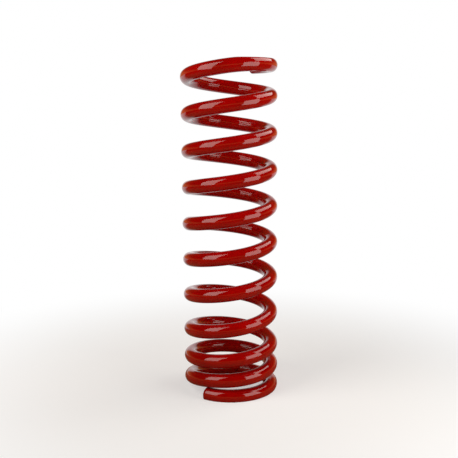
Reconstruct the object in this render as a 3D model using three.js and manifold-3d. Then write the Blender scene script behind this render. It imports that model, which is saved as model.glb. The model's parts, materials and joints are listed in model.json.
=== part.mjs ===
// Helical compression spring for a vehicle's suspension strut: one round bar wound right-hand,
// with a level lower end coil, closer coils above it that open out to evenly spaced active coils,
// and a levelled upper end coil. Both ends are ground flat. The bar is built as consecutive lengths,
// so that each length can move by its own share when the spring is compressed.
//
// Millimetres, +Z up. The origin is on the spring's axis, in the plane that the lower end rests on.
import * as THREE from "three";
import { mergeVertices } from "three/addons/utils/BufferGeometryUtils.js";
import Module from "manifold-3d";

// Driving sizes, in millimetres.
const WIRE_DIAMETER = 14;
const MEAN_DIAMETER = 82;
const END_CLEARANCE = 0.5; // between the lower cut end and the coil that closes over it
const CLOSE_GAP = 4; // that the lower coils start with, before they open out
const ACTIVE_GAP = 22.4; // between the active coils
const LOWER_GRIND = 3; // depth ground off the lower end, which gives it its flat seat
const UPPER_GRIND = 1.2; // depth ground off the upper end
const JOINT_GAP = 0.3; // between two lengths of the bar, where one ends and the next begins

// Driving counts, in turns of the bar from its lower cut end.
const TURNS = 10.5;
const LOWER_FLAT_TURNS = 0.55; // level stretch at the lower cut end
const LOWER_LIFT_TURNS = 0.2; // over which the lower end turns up off the seat plane
const SETTLING_TURNS = 0.2; // over which it takes on the close pitch, as it passes its cut end
const OPENING_START = 1.2; // where the pitch begins to open out
const OPENING_TURNS = 2.1; // over which it reaches the active pitch
const UPPER_FLATTENING_TURNS = 0.2; // over which the upper end levels out
const UPPER_FLAT_TURNS = 0.25; // level stretch at the upper cut end

// Direction of the lower cut end seen from above, anticlockwise from +X.
const START_ANGLE_DEG = 233.5;

// Fineness of the faceted bar.
const SECTION_SIDES = 16;
const STEPS_PER_TURN = 32;

const DEGREES_PER_TURN = 360;
const wireRadius = WIRE_DIAMETER / 2;
const meanRadius = MEAN_DIAMETER / 2;
const closePitch = WIRE_DIAMETER + CLOSE_GAP;
const activePitch = WIRE_DIAMETER + ACTIVE_GAP;

// Height climbed at `turn` by a pitch that grows smoothly to 1 between two turns (the integral
// of the smooth step 3s^2 - 2s^3).
function climb(turn, from, to) {
  const s = THREE.MathUtils.clamp((turn - from) / (to - from), 0, 1);
  return (to - from) * (s ** 3 - s ** 4 / 2) + Math.max(turn - to, 0);
}

// The lower end turns up steeply enough to clear its own cut end, which it passes at turn 1.
const liftEnd = LOWER_FLAT_TURNS + LOWER_LIFT_TURNS;
const settlingStart = 1 - SETTLING_TURNS / 2;
const settlingEnd = 1 + SETTLING_TURNS / 2;
const turnsLifted = climb(1, LOWER_FLAT_TURNS, liftEnd);
const turnsSettled = climb(1, settlingStart, settlingEnd);
const liftPitch =
  (WIRE_DIAMETER + END_CLEARANCE - closePitch * turnsSettled) / (turnsLifted - turnsSettled);

// Each ramp changes the pitch by `change` millimetres a turn, smoothly from turn `from` to `to`.
const upperFlatStart = TURNS - UPPER_FLAT_TURNS;
const pitchRamps = [
  { from: LOWER_FLAT_TURNS, to: liftEnd, change: liftPitch },
  { from: settlingStart, to: settlingEnd, change: closePitch - liftPitch },
  { from: OPENING_START, to: OPENING_START + OPENING_TURNS, change: activePitch - closePitch },
  { from: upperFlatStart - UPPER_FLATTENING_TURNS, to: upperFlatStart, change: -activePitch },
];

// Height of the bar's centre line above the seat plane.
function heightAt(turn) {
  const risen = pitchRamps.map((ramp) => ramp.change * climb(turn, ramp.from, ramp.to));
  return wireRadius - LOWER_GRIND + risen.reduce((sum, rise) => sum + rise, 0);
}

// Pitch in millimetres a turn.
function pitchAt(turn) {
  const parts = pitchRamps.map(
    (ramp) => ramp.change * THREE.MathUtils.smoothstep(turn, ramp.from, ramp.to),
  );
  return parts.reduce((sum, part) => sum + part, 0);
}

// A regular section of WIRE_DIAMETER across its flats, with a flat at its foot and its crown.
function wireSection() {
  const cornerRadius = wireRadius / Math.cos(Math.PI / SECTION_SIDES);
  const corners = Array.from({ length: SECTION_SIDES }, (_, i) => {
    const angle = ((i + 0.5) / SECTION_SIDES) * 2 * Math.PI;
    return new THREE.Vector2(cornerRadius * Math.cos(angle), cornerRadius * Math.sin(angle));
  });
  return new THREE.Shape(corners);
}

// One length of the bar between two turns: a straight bar, extruded along its length and then
// wound onto the helix. Its section stays round when it is seen along the sloping bar, and its
// ends are cut square to the coil, in planes through the spring's axis.
function woundLength(fromTurn, toTurn) {
  const steps = Math.max(1, Math.round((toTurn - fromTurn) * STEPS_PER_TURN));
  const geometry = new THREE.ExtrudeGeometry(wireSection(), {
    depth: 1,
    steps,
    bevelEnabled: false,
  });
  const position = geometry.getAttribute("position");
  for (let i = 0; i < position.count; i++) {
    const turn = THREE.MathUtils.lerp(fromTurn, toTurn, position.getZ(i));
    const angle = THREE.MathUtils.degToRad(START_ANGLE_DEG) + 2 * Math.PI * turn;
    const radius = meanRadius - position.getX(i);
    const slope = Math.atan(pitchAt(turn) / (Math.PI * MEAN_DIAMETER));
    const height = heightAt(turn) + position.getY(i) / Math.cos(slope);
    position.setXYZ(i, radius * Math.cos(angle), radius * Math.sin(angle), height);
  }
  geometry.computeVertexNormals();
  return geometry;
}

const wasm = await Module();
wasm.setup();

// A closed geometry as a solid, with its shared vertices merged.
function solidOf(geometry) {
  const bare = geometry.clone();
  bare.deleteAttribute("normal");
  bare.deleteAttribute("uv");
  const merged = mergeVertices(bare);
  return new wasm.Manifold(
    new wasm.Mesh({
      numProp: 3,
      vertProperties: merged.getAttribute("position").array,
      triVerts: new Uint32Array(merged.index.array),
    }),
  );
}

// The geometry ground flat at the seat plane and at the spring's full height.
function ground(geometry) {
  const springHeight = heightAt(TURNS) + wireRadius - UPPER_GRIND;
  const cut = solidOf(geometry)
    .trimByPlane([0, 0, 1], 0)
    .trimByPlane([0, 0, -1], -springHeight)
    .getMesh();
  const flatEnded = new THREE.BufferGeometry();
  flatEnded.setAttribute("position", new THREE.BufferAttribute(cut.vertProperties, 3));
  flatEnded.setIndex(new THREE.BufferAttribute(cut.triVerts, 1));
  flatEnded.computeVertexNormals();
  return flatEnded;
}

// Gloss powder coat, red, over steel.
function redPowderCoat() {
  return new THREE.MeshStandardMaterial({ color: 0xa80a05, roughness: 0.22, metalness: 0 });
}

function addLength(spring, name, fromTurn, toTurn) {
  const halfGap = JOINT_GAP / 2 / (Math.PI * MEAN_DIAMETER);
  const first = fromTurn === 0 ? fromTurn : fromTurn + halfGap;
  const last = toTurn === TURNS ? toTurn : toTurn - halfGap;
  const length = woundLength(first, last);
  const isEnd = fromTurn === 0 || toTurn === TURNS;
  const mesh = new THREE.Mesh(isEnd ? ground(length) : length, redPowderCoat());
  mesh.name = name;
  spring.add(mesh);
}

// The bar is parted where it passes the left and the right of the spring, so each length between
// the end coils is the front or the rear half of one coil.
function buildSpring() {
  const spring = new THREE.Group();
  const startTurn = START_ANGLE_DEG / DEGREES_PER_TURN;
  const lowerEnd = 1.5 - startTurn;
  const halfCoils = 2 * Math.floor(TURNS - lowerEnd);
  addLength(spring, "lower_end_coil", 0, lowerEnd);
  for (let i = 0; i < halfCoils; i++) {
    const coil = String(Math.floor(i / 2) + 2).padStart(2, "0");
    const side = i % 2 === 0 ? "front" : "rear";
    addLength(spring, `coil_${coil}_${side}`, lowerEnd + i / 2, lowerEnd + (i + 1) / 2);
  }
  addLength(spring, "upper_end_coil", lowerEnd + halfCoils / 2, TURNS);
  return spring;
}

export default buildSpring();
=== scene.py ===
"""Coil spring for a vehicle's suspension strut: one round bar, wound right-hand and powder coated red.

The bar is made straight, the rims of its cut ends are rounded, it is wound onto the centre line of
the coil, as a coiling machine winds it, and its two ends are ground flat. Metres, +Z up. The origin
is on the spring's axis, in the plane that the lower end rests on, and -Y is the side towards the
viewer.
"""

import json
import math

import bmesh
import bpy
import numpy as np
from bpy.props import FloatProperty, FloatVectorProperty, IntProperty, PointerProperty
from mathutils import Matrix, Vector


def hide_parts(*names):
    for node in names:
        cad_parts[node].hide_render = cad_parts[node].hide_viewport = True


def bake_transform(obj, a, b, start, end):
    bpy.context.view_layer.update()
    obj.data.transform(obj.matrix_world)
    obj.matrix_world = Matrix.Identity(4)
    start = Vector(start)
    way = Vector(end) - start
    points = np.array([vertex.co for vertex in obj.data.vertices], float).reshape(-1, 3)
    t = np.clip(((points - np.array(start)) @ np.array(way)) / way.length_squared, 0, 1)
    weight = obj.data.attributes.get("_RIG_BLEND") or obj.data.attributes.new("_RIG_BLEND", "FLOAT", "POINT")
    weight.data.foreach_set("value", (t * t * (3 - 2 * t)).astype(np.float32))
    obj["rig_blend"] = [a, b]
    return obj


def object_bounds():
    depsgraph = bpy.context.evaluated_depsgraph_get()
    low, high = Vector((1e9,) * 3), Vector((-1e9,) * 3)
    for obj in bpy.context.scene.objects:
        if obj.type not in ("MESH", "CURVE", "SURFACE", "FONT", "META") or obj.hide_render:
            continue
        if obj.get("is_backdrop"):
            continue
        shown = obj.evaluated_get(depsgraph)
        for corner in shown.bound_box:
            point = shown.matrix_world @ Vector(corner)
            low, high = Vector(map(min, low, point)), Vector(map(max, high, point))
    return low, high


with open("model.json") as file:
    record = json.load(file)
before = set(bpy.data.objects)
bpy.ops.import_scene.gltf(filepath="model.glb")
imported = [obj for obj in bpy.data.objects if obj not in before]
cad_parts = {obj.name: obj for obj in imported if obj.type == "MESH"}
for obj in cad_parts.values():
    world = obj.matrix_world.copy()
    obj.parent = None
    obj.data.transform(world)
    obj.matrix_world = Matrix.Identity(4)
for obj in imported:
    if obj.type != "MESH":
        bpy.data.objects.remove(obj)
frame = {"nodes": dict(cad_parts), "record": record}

bl_info = {
    "name": "Strut Coil Spring",
    "version": (1, 0, 0),
    "blender": (4, 5, 0),
    "location": "View3D > Sidebar > Coil Spring",
    "description": "Winds a round bar into a suspension spring with a gloss powder coat",
    "category": "Object",
}

MILLIMETRE = 0.001
FULL_TURN = 2 * math.pi
CAD_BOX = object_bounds()
PIECE_NAME = "spring_wire"
MAIN_JOINT = "compression"
LOWER_BODY = "lower_end"
UPPER_BODY = "upper_end"
BOX_TOLERANCE = 1 * MILLIMETRE
CUT_END_ATTRIBUTE = "from_cut_end"
TURN_ATTRIBUTE = "turn"
BLEND_ATTRIBUTE = "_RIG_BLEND"


def linear(srgb_hex):
    """An sRGB hex colour as linear red, green and blue."""
    parts = [int(srgb_hex[i : i + 2], 16) / 255 for i in (0, 2, 4)]
    return tuple(p / 12.92 if p <= 0.04045 else ((p + 0.055) / 1.055) ** 2.4 for p in parts)


# ---------------------------------------------------------------- sizes and colours


class SpringWinding(bpy.types.PropertyGroup):
    """The sizes that the bar is wound to, the same as the CAD model's."""

    wire_diameter: FloatProperty(
        name="Wire diameter",
        description="Diameter of the round bar",
        default=14 * MILLIMETRE,
        unit="LENGTH",
    )
    mean_diameter: FloatProperty(
        name="Mean diameter",
        description="Diameter of the coil's centre line",
        default=82 * MILLIMETRE,
        unit="LENGTH",
    )
    end_clearance: FloatProperty(
        name="End clearance",
        description="Gap between the lower cut end and the coil that closes over it",
        default=0.5 * MILLIMETRE,
        unit="LENGTH",
    )
    close_gap: FloatProperty(
        name="Close gap",
        description="Gap that the lower coils start with, before they open out",
        default=4 * MILLIMETRE,
        unit="LENGTH",
    )
    active_gap: FloatProperty(
        name="Active gap",
        description="Gap between the active coils",
        default=22.4 * MILLIMETRE,
        unit="LENGTH",
    )
    lower_grind: FloatProperty(
        name="Lower grind",
        description="Depth ground off the lower end, which gives it its flat seat",
        default=3 * MILLIMETRE,
        unit="LENGTH",
    )
    turns: FloatProperty(
        name="Turns",
        description="Turns of the bar from its lower to its upper cut end",
        default=10.5,
    )
    lower_flat_turns: FloatProperty(
        name="Lower flat",
        description="Turns of the level stretch at the lower cut end",
        default=0.55,
    )
    lower_lift_turns: FloatProperty(
        name="Lower lift",
        description="Turns over which the lower end turns up off its seat",
        default=0.2,
    )
    settling_turns: FloatProperty(
        name="Settling",
        description="Turns over which the lower end takes on the close pitch",
        default=0.2,
    )
    opening_start: FloatProperty(
        name="Opening start",
        description="Turn at which the pitch begins to open out",
        default=1.2,
    )
    opening_turns: FloatProperty(
        name="Opening",
        description="Turns over which the pitch opens out",
        default=2.1,
    )
    upper_flattening_turns: FloatProperty(
        name="Upper flattening",
        description="Turns over which the upper end levels out",
        default=0.2,
    )
    upper_flat_turns: FloatProperty(
        name="Upper flat",
        description="Turns of the level stretch at the upper cut end",
        default=0.25,
    )
    start_angle: FloatProperty(
        name="Start angle",
        description="Direction of the lower cut end seen from above, anticlockwise from +X",
        default=math.radians(233.5),
        subtype="ANGLE",
        unit="ROTATION",
    )
    rim_radius: FloatProperty(
        name="Rim radius",
        description="Rounding of the cut ends' rims under the coating",
        default=0.4 * MILLIMETRE,
        unit="LENGTH",
    )
    sides: IntProperty(
        name="Sides",
        description="Faces round the bar",
        default=64,
    )


class PowderCoating(bpy.types.PropertyGroup):
    """The red gloss powder coat."""

    colour: FloatVectorProperty(
        name="Colour",
        description="Red of the coating where it is at its usual thickness",
        default=linear("a80302"),
        subtype="COLOR",
        size=3,
        min=0,
        max=1,
    )
    thick_colour: FloatVectorProperty(
        name="Thick colour",
        description="Deeper red where the coating lies thicker",
        default=linear("990302"),
        subtype="COLOR",
        size=3,
        min=0,
        max=1,
    )
    thin_colour: FloatVectorProperty(
        name="Thin colour",
        description="Duller red where the coating draws thin over the rims of the cut ends",
        default=linear("8e0f09"),
        subtype="COLOR",
        size=3,
        min=0,
        max=1,
    )
    roughness: FloatProperty(
        name="Roughness",
        description="Roughness of the cured surface",
        default=0.05,
        min=0,
        max=1,
    )
    peel_spacing: FloatProperty(
        name="Orange peel spacing",
        description="Distance between the soft waves of the cured coating",
        default=1.8 * MILLIMETRE,
        unit="LENGTH",
    )
    peel_depth: FloatProperty(
        name="Orange peel depth",
        description="Height of the soft waves of the cured coating",
        default=0.0005 * MILLIMETRE,
        unit="LENGTH",
        precision=6,
    )
    patch_size: FloatProperty(
        name="Patch size",
        description="Size of the patches where the coating is a little thicker or thinner",
        default=22 * MILLIMETRE,
        unit="LENGTH",
    )
    shear_spacing: FloatProperty(
        name="Shear mark spacing",
        description="Distance between the marks that cropping leaves on the cut ends",
        default=0.9 * MILLIMETRE,
        unit="LENGTH",
    )


class StudioSetup(bpy.types.PropertyGroup):
    """The floor, the light and the camera."""

    camera_distance: FloatProperty(
        name="Camera distance",
        description="Level distance from the spring's axis to the camera",
        default=0.75362,
        unit="LENGTH",
    )
    camera_height: FloatProperty(
        name="Camera height",
        description="Height of the camera above the floor",
        default=0.29088,
        unit="LENGTH",
    )
    camera_pitch: FloatProperty(
        name="Camera pitch",
        description="How far the camera looks down",
        default=0.16348,
        subtype="ANGLE",
        unit="ROTATION",
    )
    camera_yaw: FloatProperty(
        name="Camera yaw",
        description="How far the camera looks to the right",
        default=-0.00125,
        subtype="ANGLE",
        unit="ROTATION",
    )
    camera_roll: FloatProperty(
        name="Camera roll",
        description="How far the camera leans to the left",
        default=-0.00841,
        subtype="ANGLE",
        unit="ROTATION",
    )
    lens: FloatProperty(
        name="Lens",
        description="Focal length in millimetres on a sensor 36 mm wide",
        default=59.12,
    )
    light_level: FloatProperty(
        name="Light level",
        description="Brightness of the softboxes' faces, where a white wall is 1",
        default=3.4,
    )
    backdrop_level: FloatProperty(
        name="Backdrop level",
        description="Brightness of the white backdrop behind the spring, as its coating mirrors it",
        default=0.9,
    )
    horizon_level: FloatProperty(
        name="Horizon level",
        description="Brightness of the warm room, low down round the spring",
        default=0.7,
    )
    fringe_level: FloatProperty(
        name="Fringe level",
        description="Brightness of the warm light round the edge of the backdrop",
        default=0.1,
    )
    room_level: FloatProperty(
        name="Room level",
        description="Brightness of the warm room above the spring",
        default=0.02,
    )


# ---------------------------------------------------------------- the bar and its winding


def climb(turn, start, end):
    """Height gained at `turn` by a pitch that grows smoothly to 1 between two turns."""
    s = np.clip((turn - start) / (end - start), 0, 1)
    return (end - start) * (s**3 - s**4 / 2) + np.maximum(turn - end, 0)


def pitch_ramps(sizes):
    """(from turn, to turn, change of pitch) for each stretch where the pitch changes."""
    wire = sizes.wire_diameter
    close_pitch = wire + sizes.close_gap
    active_pitch = wire + sizes.active_gap
    lift_start = sizes.lower_flat_turns
    lift_end = lift_start + sizes.lower_lift_turns
    settling = (1 - sizes.settling_turns / 2, 1 + sizes.settling_turns / 2)
    lifted = climb(1, lift_start, lift_end)
    settled = climb(1, *settling)
    lift_pitch = (wire + sizes.end_clearance - close_pitch * settled) / (lifted - settled)
    opening_end = sizes.opening_start + sizes.opening_turns
    upper_flat_start = sizes.turns - sizes.upper_flat_turns
    return (
        (lift_start, lift_end, lift_pitch),
        (*settling, close_pitch - lift_pitch),
        (sizes.opening_start, opening_end, active_pitch - close_pitch),
        (upper_flat_start - sizes.upper_flattening_turns, upper_flat_start, -active_pitch),
    )


def centre_line(sizes, turn):
    """Points of the bar's centre line at the given turns, one row each."""
    ramps = pitch_ramps(sizes)
    foot = sizes.wire_diameter / 2 - sizes.lower_grind
    height = foot + sum(c * climb(turn, a, b) for a, b, c in ramps)
    angle = sizes.start_angle + FULL_TURN * turn
    radius = sizes.mean_diameter / 2
    return np.stack([radius * np.cos(angle), radius * np.sin(angle), height], axis=-1)


def deselect_all():
    if bpy.context.object and bpy.context.object.mode != "OBJECT":
        bpy.ops.object.mode_set(mode="OBJECT")
    bpy.ops.object.select_all(action="DESELECT")


def select_edges(bar, wanted):
    """In edit mode, selects the edges that `wanted` is true for, and nothing else."""
    bpy.ops.mesh.select_mode(type="EDGE")
    bpy.ops.mesh.select_all(action="DESELECT")
    mesh = bmesh.from_edit_mesh(bar.data)
    for edge in mesh.edges:
        if wanted(*(v.co for v in edge.verts)):
            edge.select_set(True)
    mesh.select_flush_mode()
    bmesh.update_edit_mesh(bar.data)


GUIDE_POINTS_PER_TURN = 384
LONG_CUTS = (31, 39)  # 32 x 40 rings over the bar's length, 122 to each turn
RIM_SEGMENTS = 3
SHARP_ANGLE = math.radians(30)
LEAST_RUN = 2 * MILLIMETRE
CUT_THRESHOLD = 0.001 * MILLIMETRE


def straight_bar(sizes, length):
    """A round bar along +X from the origin, with rounded rims, cut into rings along its length."""
    deselect_all()
    bpy.ops.mesh.primitive_cylinder_add(
        vertices=sizes.sides,
        radius=sizes.wire_diameter / 2,
        depth=length,
        end_fill_type="NGON",
        location=(length / 2, 0, 0),
        rotation=(0, math.pi / 2, 0),
    )
    bar = bpy.context.object
    bar.name = PIECE_NAME
    bpy.ops.object.transform_apply(location=True, rotation=True, scale=True)
    bpy.ops.object.mode_set(mode="EDIT")
    select_edges(bar, lambda a, b: abs(a.x - b.x) < LEAST_RUN)
    bpy.ops.mesh.bevel(offset=sizes.rim_radius, segments=RIM_SEGMENTS, affect="EDGES")
    for cuts in LONG_CUTS:
        select_edges(bar, lambda a, b: abs(a.x - b.x) > LEAST_RUN)
        bpy.ops.mesh.subdivide(number_cuts=cuts)
    bpy.ops.object.mode_set(mode="OBJECT")
    return bar


def guide_curve(sizes):
    """The coil's centre line as a curve, with the turn and the run of bar at each of its points."""
    turns = np.linspace(0, sizes.turns, round(sizes.turns * GUIDE_POINTS_PER_TURN) + 1)
    points = centre_line(sizes, turns)
    runs = np.concatenate([[0], np.cumsum(np.linalg.norm(np.diff(points, axis=0), axis=1))])
    curve = bpy.data.curves.new("centre_line", "CURVE")
    curve.dimensions = "3D"
    curve.twist_mode = "Z_UP"
    curve.use_path = True
    spline = curve.splines.new("POLY")
    spline.points.add(len(points) - 1)
    spline.points.foreach_set("co", np.c_[points, np.ones(len(points))].ravel())
    guide = bpy.data.objects.new("centre_line", curve)
    bpy.context.collection.objects.link(guide)
    return guide, turns, runs


def put_attribute(mesh, name, values):
    attribute = mesh.attributes.get(name) or mesh.attributes.new(name, "FLOAT", "POINT")
    attribute.data.foreach_set("value", values.astype(np.float32))


def read_attribute(mesh, name):
    values = np.zeros(len(mesh.vertices), np.float32)
    mesh.attributes[name].data.foreach_get("value", values)
    return values.astype(float)


def wind(bar, guide):
    """Winds the straight bar onto the guide, and removes the guide."""
    deselect_all()
    bar.select_set(True)
    bpy.context.view_layer.objects.active = bar
    winding = bar.modifiers.new("Winding", "CURVE")
    winding.object = guide
    winding.deform_axis = "POS_X"
    bpy.ops.object.modifier_apply(modifier=winding.name)
    bpy.data.objects.remove(guide)


def grind(bar, height, outward):
    """Grinds the bar flat at a height, taking off what lies outward of it."""
    bpy.ops.object.mode_set(mode="EDIT")
    bpy.ops.mesh.select_all(action="SELECT")
    bpy.ops.mesh.bisect(
        plane_co=(0, 0, height),
        plane_no=(0, 0, outward),
        use_fill=True,
        clear_outer=True,
        threshold=CUT_THRESHOLD,
    )
    bpy.ops.object.mode_set(mode="OBJECT")


def finish_mesh(bar):
    bpy.ops.object.mode_set(mode="EDIT")
    bpy.ops.mesh.select_all(action="SELECT")
    bpy.ops.mesh.normals_make_consistent(inside=False)
    bpy.ops.object.mode_set(mode="OBJECT")
    bpy.ops.object.shade_smooth_by_angle(angle=SHARP_ANGLE)


# ---------------------------------------------------------------- how the coils close up


FIRST_PARTING = 1.5  # turns from +X, where the lower end coil ends and the next length begins
HALF_LENGTH = 0.25  # turns from the middle of a half coil to either end
LEAST_SLOPE = 1e-12


def travel_shares():
    """Each CAD node's share of the spring's travel, from the record's joints and couplings."""
    behaviour = frame["record"]["behaviour"]
    ratios = {c["joint"]: c["ratio"] for c in behaviour["couplings"]}
    ratios[MAIN_JOINT] = 1.0
    body_shares = {j["child"]: ratios[j["name"]] for j in behaviour["joints"]}
    shares = {}
    for body, nodes in behaviour["bodies"].items():
        for node in nodes:
            shares[node] = body_shares.get(body, 0.0)
    return shares


def node_turns(sizes):
    """(first turn, last turn) of each CAD node: the bar is parted at the left and the right."""
    lower_end = FIRST_PARTING - sizes.start_angle / FULL_TURN
    halves = 2 * math.floor(sizes.turns - lower_end)
    spans = {"lower_end_coil": (0.0, lower_end)}
    for i in range(halves):
        name = f"coil_{i // 2 + 2:02d}_{'rear' if i % 2 else 'front'}"
        spans[name] = (lower_end + i / 2, lower_end + (i + 1) / 2)
    spans["upper_end_coil"] = (lower_end + halves / 2, sizes.turns)
    return spans


def smooth_between(x, knots, values):
    """Values at x on a smooth rising curve through the knots, level outside them."""
    steps = np.diff(knots)
    slopes = np.diff(values) / steps
    both = np.maximum(slopes[:-1] + slopes[1:], LEAST_SLOPE)
    tangents = np.concatenate([[0], 2 * slopes[:-1] * slopes[1:] / both, [0]])
    x = np.clip(x, knots[0], knots[-1])
    i = np.clip(np.searchsorted(knots, x) - 1, 0, len(steps) - 1)
    s = (x - knots[i]) / steps[i]
    return (
        values[i] * (1 + 2 * s) * (1 - s) ** 2
        + tangents[i] * steps[i] * s * (1 - s) ** 2
        + values[i + 1] * s**2 * (3 - 2 * s)
        + tangents[i + 1] * steps[i] * s**2 * (s - 1)
    )


def closing_share(sizes, turn):
    """The share of the spring's travel that the bar makes at each turn: each CAD length's own
    share at its middle, and evenly in between, so that the bar bends and never steps."""
    spans = node_turns(sizes)
    shares = travel_shares()
    if set(spans) != set(shares):
        raise RuntimeError("the bar's lengths aren't the CAD model's nodes")
    still = [n for n in spans if shares[n] == 0.0]
    moving = [n for n in spans if n not in still and n != "upper_end_coil"]
    knots = [spans[still[-1]][1] - HALF_LENGTH]
    knots += [sum(spans[n]) / 2 for n in moving]
    knots += [spans["upper_end_coil"][0] + HALF_LENGTH]
    values = [0.0] + [shares[n] for n in moving] + [1.0]
    return smooth_between(turn, np.array(knots), np.array(values))


# ---------------------------------------------------------------- materials


def add_node(tree, kind, settings=None, links=None):
    """Adds a node. `settings` go to its properties or, where it has no such property, to its
    input sockets; `links` join output sockets to its inputs."""
    node = tree.nodes.new(kind)
    for name, value in (settings or {}).items():
        if isinstance(name, str) and hasattr(node, name):
            setattr(node, name, value)
        else:
            node.inputs[name].default_value = value
    for name, socket in (links or {}).items():
        tree.links.new(socket, node.inputs[name])
    return node


def new_material(name):
    material = bpy.data.materials.new(name)
    material.use_nodes = True
    material.node_tree.nodes.clear()
    return material, material.node_tree


def opaque(colour):
    return (*colour, 1.0)


# Sockets of a Mix node that mixes colours, and of a Math node or a shader mix.
FACTOR, FIRST_COLOUR, SECOND_COLOUR, MIXED_COLOUR = 0, 6, 7, 2
FIRST, SECOND, THIRD = 0, 1, 2

PATCH_DETAIL = 2.0
PEEL_DETAIL = 1.0
USUAL_FILM = 0.35  # of the patches' pattern, where the film begins to thicken
THICK_FILM = 0.65
RIM_DULLING = 0.25
SHEAR_WAVER = 3.0
CUT_FACE_REACH = 0.2 * MILLIMETRE
RIM_REACH = 2.4 * MILLIMETRE
SHEAR_DEPTH = 0.05 * MILLIMETRE
ROUGHNESS_SPREAD = 0.01
COATING_IOR = 1.5


def red_gloss_powder_coat(coat):
    """Polyester powder coat, sprayed as dry powder and cured to a gloss film: an even deep red with
    sharp reflections, whose edges waver over the soft waves called orange peel. It lies a shade
    deeper where the film is thicker, and draws thin and dull over the sheared rims."""
    material, tree = new_material("red_gloss_powder_coat")
    place = add_node(tree, "ShaderNodeTexCoord").outputs["Object"]
    patches = add_node(
        tree,
        "ShaderNodeTexNoise",
        {"Scale": 1 / coat.patch_size, "Detail": PATCH_DETAIL},
        {"Vector": place},
    )
    film = add_node(
        tree,
        "ShaderNodeMapRange",
        {"From Min": USUAL_FILM, "From Max": THICK_FILM},
        {"Value": patches.outputs["Fac"]},
    )
    body = add_node(
        tree,
        "ShaderNodeMix",
        {
            "data_type": "RGBA",
            FIRST_COLOUR: opaque(coat.colour),
            SECOND_COLOUR: opaque(coat.thick_colour),
        },
        {FACTOR: film.outputs["Result"]},
    )

    end_run = add_node(
        tree, "ShaderNodeAttribute", {"attribute_name": CUT_END_ATTRIBUTE}
    ).outputs["Fac"]
    rim = add_node(
        tree,
        "ShaderNodeMapRange",
        {"interpolation_type": "SMOOTHSTEP", "From Max": RIM_REACH, "To Min": 1.0, "To Max": 0.0},
        {"Value": end_run},
    )
    colour = add_node(
        tree,
        "ShaderNodeMix",
        {"data_type": "RGBA", SECOND_COLOUR: opaque(coat.thin_colour)},
        {FACTOR: rim.outputs["Result"], FIRST_COLOUR: body.outputs[MIXED_COLOUR]},
    )

    peel = add_node(
        tree,
        "ShaderNodeTexNoise",
        {"Scale": 1 / coat.peel_spacing, "Detail": PEEL_DETAIL},
        {"Vector": place},
    )
    gloss = add_node(
        tree,
        "ShaderNodeMapRange",
        {
            "To Min": coat.roughness - ROUGHNESS_SPREAD,
            "To Max": coat.roughness + ROUGHNESS_SPREAD,
        },
        {"Value": patches.outputs["Fac"]},
    )
    dulled = add_node(
        tree,
        "ShaderNodeMath",
        {"operation": "MULTIPLY_ADD", SECOND: RIM_DULLING},
        {FIRST: rim.outputs["Result"], THIRD: gloss.outputs["Result"]},
    )

    shear = add_node(
        tree,
        "ShaderNodeTexWave",
        {
            "bands_direction": "Z",
            "Scale": 1 / (coat.shear_spacing * FULL_TURN),
            "Distortion": SHEAR_WAVER,
        },
        {"Vector": place},
    )
    cut_face = add_node(
        tree,
        "ShaderNodeMapRange",
        {"From Max": CUT_FACE_REACH, "To Min": 1.0, "To Max": 0.0},
        {"Value": end_run},
    )
    marks = add_node(
        tree,
        "ShaderNodeMath",
        {"operation": "MULTIPLY"},
        {FIRST: shear.outputs["Fac"], SECOND: cut_face.outputs["Result"]},
    )
    sheared = add_node(
        tree,
        "ShaderNodeBump",
        {"Strength": 1.0, "Distance": SHEAR_DEPTH},
        {"Height": marks.outputs["Value"]},
    )
    waves = add_node(
        tree,
        "ShaderNodeBump",
        {"Strength": 1.0, "Distance": coat.peel_depth},
        {"Height": peel.outputs["Fac"], "Normal": sheared.outputs["Normal"]},
    )
    surface = add_node(
        tree,
        "ShaderNodeBsdfPrincipled",
        {"IOR": COATING_IOR},
        {
            "Base Color": colour.outputs[MIXED_COLOUR],
            "Roughness": dulled.outputs["Value"],
            "Normal": waves.outputs["Normal"],
        },
    )
    add_node(tree, "ShaderNodeOutputMaterial", None, {"Surface": surface.outputs["BSDF"]})
    return material


FLOOR_WHITE = linear("ffffff")
FLOOR_DIM = linear("a8805f")
ROOM_WARM = linear("ffb36b")
LAMP_WHITE = linear("fffaf2")
PLAIN_WHITE_LEVEL = 1.0  # of what the eye sees away from the spring

# Metres from the spring's axis, on the floor.
SPOT_RADIUS = 0.12
SPOT_FADE = 0.45
BRIGHT_START = 0.05
BRIGHT_END = 0.3
BRIGHT_NARROWING = 0.5  # metres of the bright part's edge that each metre to the side takes off
PAINTED_FLOOR_GLOW = 0.45  # share of painted glow, seen only by the eye, mixed into the floor under the spring to lighten its shadow

# Cosines of the angle from straight behind the spring.
FRINGE_START = 0.3
FRINGE_FULL = 0.8
BACKDROP_EDGE = 0.88
BACKDROP_FULL = 0.96
HORIZON_TOP = 0.36  # sine of the angle above level where the warm light low down ends


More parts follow.
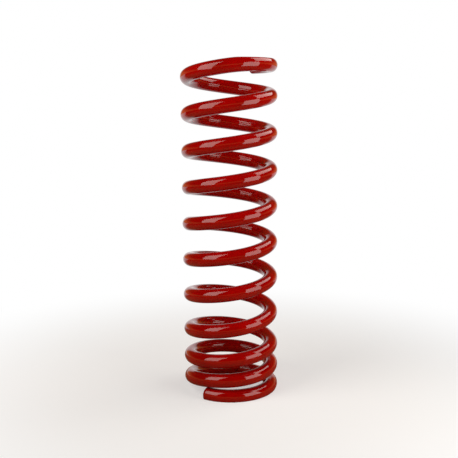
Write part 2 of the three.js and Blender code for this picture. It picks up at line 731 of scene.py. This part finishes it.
def white_studio_floor(studio):
    """Matte white paper. To the eye it holds the spring's soft shadow, lightened by a share of painted
    glow that lights nothing, and runs into plain white further off. The coating mirrors it bright
    behind the spring, and dim and warm in front and at the sides."""
    material, tree = new_material("white_studio_floor")
    place = add_node(tree, "ShaderNodeTexCoord").outputs["Object"]
    distance = add_node(
        tree, "ShaderNodeVectorMath", {"operation": "LENGTH"}, {FIRST: place}
    ).outputs["Value"]
    # Painted glow: near the spring the paper's real shading is lightened by a share of glow, and further off
    # only the plain white glow is seen.
    fade = add_node(
        tree,
        "ShaderNodeMapRange",
        {
            "interpolation_type": "SMOOTHSTEP",
            "From Min": SPOT_RADIUS,
            "From Max": SPOT_FADE,
            "To Min": PAINTED_FLOOR_GLOW,
        },
        {"Value": distance},
    )
    paper = add_node(tree, "ShaderNodeBsdfDiffuse", {"Color": opaque(FLOOR_WHITE)})
    glow = add_node(
        tree,
        "ShaderNodeEmission",
        {"Color": opaque(FLOOR_WHITE), "Strength": PLAIN_WHITE_LEVEL},
    )
    seen = add_node(
        tree,
        "ShaderNodeMixShader",
        None,
        {
            FACTOR: fade.outputs["Result"],
            SECOND: paper.outputs["BSDF"],
            THIRD: glow.outputs["Emission"],
        },
    )
    dim = add_node(tree, "ShaderNodeBsdfDiffuse", {"Color": opaque(FLOOR_DIM)})
    parts = add_node(tree, "ShaderNodeSeparateXYZ", None, {FIRST: place})
    aside = add_node(
        tree, "ShaderNodeMath", {"operation": "ABSOLUTE"}, {FIRST: parts.outputs["X"]}
    )
    straight = add_node(
        tree,
        "ShaderNodeMath",
        {"operation": "MULTIPLY_ADD", SECOND: -BRIGHT_NARROWING},
        {FIRST: aside.outputs["Value"], THIRD: parts.outputs["Y"]},
    )
    behind = add_node(
        tree,
        "ShaderNodeMapRange",
        {"interpolation_type": "SMOOTHSTEP", "From Min": BRIGHT_START, "From Max": BRIGHT_END},
        {"Value": straight.outputs["Value"]},
    )
    bright = add_node(
        tree,
        "ShaderNodeEmission",
        {"Color": opaque(FLOOR_WHITE), "Strength": studio.backdrop_level},
    )
    mirrored = add_node(
        tree,
        "ShaderNodeMixShader",
        None,
        {
            FACTOR: behind.outputs["Result"],
            SECOND: dim.outputs["BSDF"],
            THIRD: bright.outputs["Emission"],
        },
    )
    looked_at = add_node(tree, "ShaderNodeLightPath").outputs["Is Camera Ray"]
    floor = add_node(
        tree,
        "ShaderNodeMixShader",
        None,
        {FACTOR: looked_at, SECOND: mirrored.outputs["Shader"], THIRD: seen.outputs["Shader"]},
    )
    add_node(tree, "ShaderNodeOutputMaterial", None, {"Surface": floor.outputs["Shader"]})
    return material


def studio_world(studio):
    """Plain white all round to the eye. The coating mirrors a room that is dim overhead and warm
    low down, with a white backdrop behind the spring in a warm fringe."""
    world = bpy.data.worlds.new("studio")
    world.use_nodes = True
    tree = world.node_tree
    tree.nodes.clear()
    direction = add_node(tree, "ShaderNodeTexCoord").outputs["Generated"]
    parts = add_node(tree, "ShaderNodeSeparateXYZ", None, {FIRST: direction})
    low_down = add_node(
        tree,
        "ShaderNodeMapRange",
        {
            "interpolation_type": "SMOOTHSTEP",
            "From Max": HORIZON_TOP,
            "To Min": studio.horizon_level,
            "To Max": studio.room_level,
        },
        {"Value": parts.outputs["Z"]},
    )
    fringe = add_node(
        tree,
        "ShaderNodeMapRange",
        {
            "interpolation_type": "SMOOTHSTEP",
            "From Min": FRINGE_START,
            "From Max": FRINGE_FULL,
            "To Max": studio.fringe_level,
        },
        {"Value": parts.outputs["Y"]},
    )
    warm_light = add_node(
        tree,
        "ShaderNodeMath",
        {"operation": "ADD"},
        {FIRST: low_down.outputs["Result"], SECOND: fringe.outputs["Result"]},
    )
    room = add_node(
        tree,
        "ShaderNodeBackground",
        {"Color": opaque(ROOM_WARM)},
        {"Strength": warm_light.outputs["Value"]},
    )
    backdrop = add_node(
        tree,
        "ShaderNodeBackground",
        {"Color": opaque(FLOOR_WHITE), "Strength": studio.backdrop_level},
    )
    behind = add_node(
        tree,
        "ShaderNodeMapRange",
        {"interpolation_type": "SMOOTHSTEP", "From Min": BACKDROP_EDGE, "From Max": BACKDROP_FULL},
        {"Value": parts.outputs["Y"]},
    )
    around = add_node(
        tree,
        "ShaderNodeMixShader",
        None,
        {
            FACTOR: behind.outputs["Result"],
            SECOND: room.outputs["Background"],
            THIRD: backdrop.outputs["Background"],
        },
    )
    white = add_node(
        tree,
        "ShaderNodeBackground",
        {"Color": opaque(FLOOR_WHITE), "Strength": PLAIN_WHITE_LEVEL},
    )
    looked_at = add_node(tree, "ShaderNodeLightPath").outputs["Is Camera Ray"]
    mixed = add_node(
        tree,
        "ShaderNodeMixShader",
        None,
        {FACTOR: looked_at, SECOND: around.outputs["Shader"], THIRD: white.outputs["Background"]},
    )
    add_node(tree, "ShaderNodeOutputWorld", None, {"Surface": mixed.outputs["Shader"]})
    return world


# ---------------------------------------------------------------- the stage

# Name and four corners of each softbox: degrees to the right of the viewer, metres from the
# spring's axis and metres above the floor.
SOFTBOXES = (
    ("left_softbox", ((-36, 0.45, 0.2), (-72, 0.8, 0.3), (-90, 0.8, 1.1), (-30, 0.45, 1.2))),
    ("front_right_softbox", ((33, 0.5, 0.06), (73, 0.5, 0.06), (73, 0.5, 0.5), (33, 0.5, 0.5))),
    ("right_softbox", ((68, 0.8, 0.78), (108, 0.8, 2.0), (145, 0.8, 0.75), (125, 0.8, 0.62))),
)
FLOOR_RADIUS = 4.0
FLOOR_SIDES = 96


def beside_axis(azimuth, distance, height):
    """A point round the spring's axis, its azimuth counted to the right of the viewer."""
    az = math.radians(azimuth)
    return Vector((distance * math.sin(az), -distance * math.cos(az), height))


def softbox_cloth(studio):
    """The even white cloth of a softbox, lit from inside."""
    material, tree = new_material("softbox_cloth")
    cloth = add_node(
        tree,
        "ShaderNodeEmission",
        {"Color": opaque(LAMP_WHITE), "Strength": studio.light_level},
    )
    add_node(tree, "ShaderNodeOutputMaterial", None, {"Surface": cloth.outputs["Emission"]})
    return material


def add_softbox(cloth, name, corners):
    deselect_all()
    bpy.ops.mesh.primitive_circle_add(vertices=len(corners), fill_type="NGON")
    panel = bpy.context.object
    panel.name = name
    for vertex, corner in zip(panel.data.vertices, corners):
        vertex.co = beside_axis(*corner)
    panel.data.materials.append(cloth)
    panel.visible_camera = False
    panel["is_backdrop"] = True


def add_floor(studio):
    deselect_all()
    bpy.ops.mesh.primitive_circle_add(
        vertices=FLOOR_SIDES, radius=FLOOR_RADIUS, fill_type="NGON", location=(0, 0, 0)
    )
    floor = bpy.context.object
    floor.name = "studio_floor"
    floor.data.materials.append(white_studio_floor(studio))
    floor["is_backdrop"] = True


def add_camera(studio):
    bpy.ops.object.camera_add(location=(0, -studio.camera_distance, studio.camera_height))
    camera = bpy.context.object
    camera.name = "studio_camera"
    turned = (
        Matrix.Rotation(-studio.camera_yaw, 3, "Z")
        @ Matrix.Rotation(math.pi / 2 - studio.camera_pitch, 3, "X")
        @ Matrix.Rotation(studio.camera_roll, 3, "Z")
    )
    camera.rotation_mode = "QUATERNION"
    camera.rotation_quaternion = turned.to_quaternion()
    camera.data.lens = studio.lens
    bpy.context.scene.camera = camera


# ---------------------------------------------------------------- operators and panel


class SPRING_OT_wind_bar(bpy.types.Operator):
    """Wind the round bar into the spring"""

    bl_idname = "spring.wind_bar"
    bl_label = "Wind Bar"

    def execute(self, context):
        sizes = context.scene.spring_winding
        guide, turns, runs = guide_curve(sizes)
        bar = straight_bar(sizes, runs[-1])
        run = np.array([v.co.x for v in bar.data.vertices])
        put_attribute(bar.data, CUT_END_ATTRIBUTE, np.minimum(run, runs[-1] - run))
        put_attribute(bar.data, TURN_ATTRIBUTE, np.interp(run, runs, turns))
        wind(bar, guide)
        low, high = CAD_BOX[0].z, CAD_BOX[1].z
        grind(bar, low, outward=-1)
        grind(bar, high, outward=1)
        finish_mesh(bar)
        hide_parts(*frame["nodes"])
        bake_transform(bar, LOWER_BODY, UPPER_BODY, start=(0, 0, low), end=(0, 0, high))
        turn = read_attribute(bar.data, TURN_ATTRIBUTE)
        put_attribute(bar.data, BLEND_ATTRIBUTE, closing_share(sizes, turn))
        worst = np.abs(np.array(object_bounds()) - np.array(CAD_BOX)).max()
        if worst > BOX_TOLERANCE:
            raise RuntimeError(f"the wound bar is {worst:.4f} m off the CAD model's box")
        return {"FINISHED"}


class SPRING_OT_powder_coat(bpy.types.Operator):
    """Coat the wound bar in red gloss powder"""

    bl_idname = "spring.powder_coat"
    bl_label = "Powder Coat"

    def execute(self, context):
        bar = bpy.data.objects[PIECE_NAME]
        bar.data.materials.clear()
        bar.data.materials.append(red_gloss_powder_coat(context.scene.spring_coating))
        return {"FINISHED"}


class SPRING_OT_set_stage(bpy.types.Operator):
    """Add the floor, the light and the camera"""

    bl_idname = "spring.set_stage"
    bl_label = "Set Stage"

    def execute(self, context):
        studio = context.scene.spring_studio
        add_floor(studio)
        cloth = softbox_cloth(studio)
        for name, corners in SOFTBOXES:
            add_softbox(cloth, name, corners)
        add_camera(studio)
        context.scene.world = studio_world(studio)
        context.scene.view_settings.view_transform = "Standard"
        return {"FINISHED"}


class SPRING_PT_sidebar(bpy.types.Panel):
    """The spring's sizes, finish and stage"""

    bl_label = "Coil Spring"
    bl_idname = "SPRING_PT_sidebar"
    bl_space_type = "VIEW_3D"
    bl_region_type = "UI"
    bl_category = "Coil Spring"

    def draw(self, context):
        scene = context.scene
        for title, group, operator in (
            ("Winding", scene.spring_winding, SPRING_OT_wind_bar),
            ("Powder coat", scene.spring_coating, SPRING_OT_powder_coat),
            ("Stage", scene.spring_studio, SPRING_OT_set_stage),
        ):
            box = self.layout.box()
            box.label(text=title)
            for name in group.__annotations__:
                box.prop(group, name)
            box.operator(operator.bl_idname)


CLASSES = (
    SpringWinding,
    PowderCoating,
    StudioSetup,
    SPRING_OT_wind_bar,
    SPRING_OT_powder_coat,
    SPRING_OT_set_stage,
    SPRING_PT_sidebar,
)


def register():
    for cls in CLASSES:
        bpy.utils.register_class(cls)
    bpy.types.Scene.spring_winding = PointerProperty(type=SpringWinding)
    bpy.types.Scene.spring_coating = PointerProperty(type=PowderCoating)
    bpy.types.Scene.spring_studio = PointerProperty(type=StudioSetup)


def unregister():
    del bpy.types.Scene.spring_studio
    del bpy.types.Scene.spring_coating
    del bpy.types.Scene.spring_winding
    for cls in reversed(CLASSES):
        bpy.utils.unregister_class(cls)


def main():
    register()
    bpy.ops.spring.wind_bar()
    bpy.ops.spring.powder_coat()
    bpy.ops.spring.set_stage()


if __name__ == "__main__":
    main()
